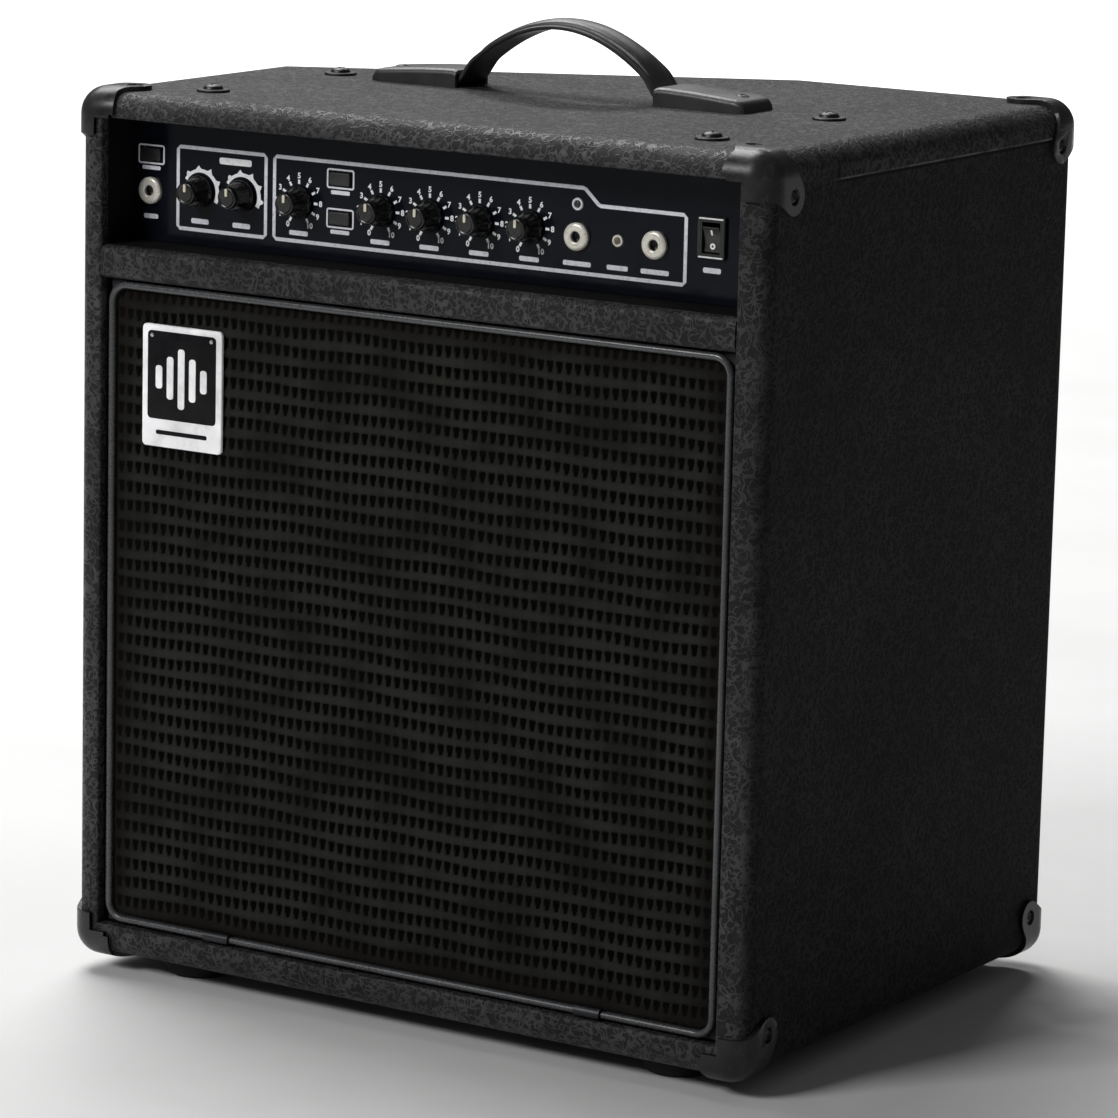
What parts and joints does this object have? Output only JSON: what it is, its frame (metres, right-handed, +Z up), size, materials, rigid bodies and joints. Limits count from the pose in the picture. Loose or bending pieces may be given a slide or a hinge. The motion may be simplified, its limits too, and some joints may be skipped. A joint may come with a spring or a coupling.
{
  "type": "guitar amplifier",
  "caption": "Combo amplifier: five-sided vinyl-covered cabinet, recessed control panel with turning knobs and push switches, grille over a loudspeaker, strap handle on top.",
  "frame": {"origin": "on the floor under the feet, at the centre of the bounding box in plan", "axes": "+Z up, +X to the right of someone facing the grille, +Y to the back"},
  "size_m": [0.4128, 0.3208, 0.503],
  "materials": {
    "vinyl_covered_ply": "black pebbled vinyl over plywood",
    "black_ply": "matt black paint on plywood",
    "protector_plastic": "black moulded plastic, fine satin",
    "foot_rubber": "black rubber",
    "bead_vinyl": "silver grey piping",
    "grille_cloth": "black woven grille cloth with wavy ribs",
    "bright_steel": "bright steel",
    "badge_plastic": "white plate with black inlay",
    "panel_paint": "blue-black satin paint, light grey print",
    "chassis_steel": "zinc plated sheet",
    "black_steel": "black plated steel",
    "knob_plastic": "black satin plastic with a white pointer",
    "switch_plastic": "black plastic",
    "circuit_board": "green circuit board with parts",
    "nickel": "nickel plated",
    "heatsink_aluminium": "extruded aluminium",
    "transformer_iron": "black lacquered laminations",
    "magnet_ferrite": "ferrite ring with steel plates",
    "cone_paper": "black pressed paper",
    "surround_rubber": "half-roll rubber",
    "spider_cloth": "resin treated cloth",
    "strap_plastic": "black flexible plastic"
  },
  "bodies": {
    "cabinet": {"top_panel": "vinyl_covered_ply", "bottom_panel": "vinyl_covered_ply", "right_side": "vinyl_covered_ply", "left_side": "vinyl_covered_ply", "slanted_side": "vinyl_covered_ply", "shelf": "vinyl_covered_ply", "back_panel": "black_ply", "baffle_board": "black_ply", "corner_protector_front_left_bottom": "protector_plastic", "corner_protector_front_left_top": "protector_plastic", "corner_protector_front_right_bottom": "protector_plastic", "corner_protector_front_right_top": "protector_plastic", "corner_protector_back_right_bottom": "protector_plastic", "corner_protector_back_right_top": "protector_plastic", "foot_front_left": "foot_rubber", "foot_front_right": "foot_rubber", "foot_back_right": "foot_rubber", "foot_back_left": "foot_rubber", "grille_bead": "bead_vinyl", "grille_frame": "black_ply", "grille_cloth": "grille_cloth", "grille_tab_left": "bright_steel", "grille_tab_right": "bright_steel", "badge_plate": "badge_plastic", "control_panel": "panel_paint", "chassis": "chassis_steel", "chassis_bolt_front_left": "black_steel", "chassis_bolt_front_right": "black_steel", "chassis_bolt_back_left": "black_steel", "chassis_bolt_back_right": "black_steel", "control_board": "circuit_board", "power_board": "circuit_board", "heatsink": "heatsink_aluminium", "mains_transformer": "transformer_iron", "mains_inlet": "switch_plastic", "jack_input": "nickel", "jack_phones": "nickel", "jack_line_out": "nickel", "socket_aux": "nickel", "power_switch_housing": "switch_plastic", "speaker_basket": "black_steel", "speaker_motor": "magnet_ferrite", "speaker_surround": "surround_rubber", "speaker_spider": "spider_cloth", "handle_strap": "strap_plastic", "handle_cap_left": "strap_plastic", "handle_cap_right": "strap_plastic"},
    "knob_drive": {"knob_drive": "knob_plastic"},
    "knob_blend": {"knob_blend": "knob_plastic"},
    "knob_gain": {"knob_gain": "knob_plastic"},
    "knob_bass": {"knob_bass": "knob_plastic"},
    "knob_middle": {"knob_middle": "knob_plastic"},
    "knob_treble": {"knob_treble": "knob_plastic"},
    "knob_volume": {"knob_volume": "knob_plastic"},
    "button_pad": {"button_pad": "switch_plastic"},
    "button_treble_boost": {"button_treble_boost": "switch_plastic"},
    "button_bass_boost": {"button_bass_boost": "switch_plastic"},
    "power_rocker": {"power_rocker": "switch_plastic"},
    "speaker_cone": {"speaker_cone": "cone_paper", "speaker_dust_cap": "cone_paper"}
  },
  "joints": [
    {"name": "knob_drive_turn", "type": "hinge", "parent": "cabinet", "child": "knob_drive", "pos_m": [-0.147, -0.1286, 0.412], "axis": [0, 1, 0], "range_deg": [-150, 150]},
    {"name": "knob_blend_turn", "type": "hinge", "parent": "cabinet", "child": "knob_blend", "pos_m": [-0.121, -0.1286, 0.412], "axis": [0, 1, 0], "range_deg": [-150, 150]},
    {"name": "knob_gain_turn", "type": "hinge", "parent": "cabinet", "child": "knob_gain", "pos_m": [-0.0855, -0.1286, 0.412], "axis": [0, 1, 0], "range_deg": [-150, 150]},
    {"name": "knob_bass_turn", "type": "hinge", "parent": "cabinet", "child": "knob_bass", "pos_m": [-0.0358, -0.1286, 0.412], "axis": [0, 1, 0], "range_deg": [-150, 150]},
    {"name": "knob_middle_turn", "type": "hinge", "parent": "cabinet", "child": "knob_middle", "pos_m": [-0.0063, -0.1286, 0.412], "axis": [0, 1, 0], "range_deg": [-150, 150]},
    {"name": "knob_treble_turn", "type": "hinge", "parent": "cabinet", "child": "knob_treble", "pos_m": [0.0232, -0.1286, 0.412], "axis": [0, 1, 0], "range_deg": [-150, 150]},
    {"name": "knob_volume_turn", "type": "hinge", "parent": "cabinet", "child": "knob_volume", "pos_m": [0.0527, -0.1286, 0.412], "axis": [0, 1, 0], "range_deg": [-150, 150]},
    {"name": "button_pad_press", "type": "slide", "parent": "cabinet", "child": "button_pad", "axis": [0, 1, 0], "range_m": [0, 0.0025], "stiffness_N_per_m": 200},
    {"name": "button_treble_boost_press", "type": "slide", "parent": "cabinet", "child": "button_treble_boost", "axis": [0, 1, 0], "range_m": [0, 0.0025], "stiffness_N_per_m": 200},
    {"name": "button_bass_boost_press", "type": "slide", "parent": "cabinet", "child": "button_bass_boost", "axis": [0, 1, 0], "range_m": [0, 0.0025], "stiffness_N_per_m": 200},
    {"name": "power_rocker_tip", "type": "hinge", "parent": "cabinet", "child": "power_rocker", "pos_m": [0.157, -0.1248, 0.4164], "axis": [-1, 0, 0], "range_deg": [0, 20]},
    {"name": "speaker_cone_travel", "type": "slide", "parent": "cabinet", "child": "speaker_cone", "axis": [0, 1, 0], "range_m": [-0.005, 0.005], "stiffness_N_per_m": 2500, "deforming": ["speaker_surround", "speaker_spider"]}
  ]
}
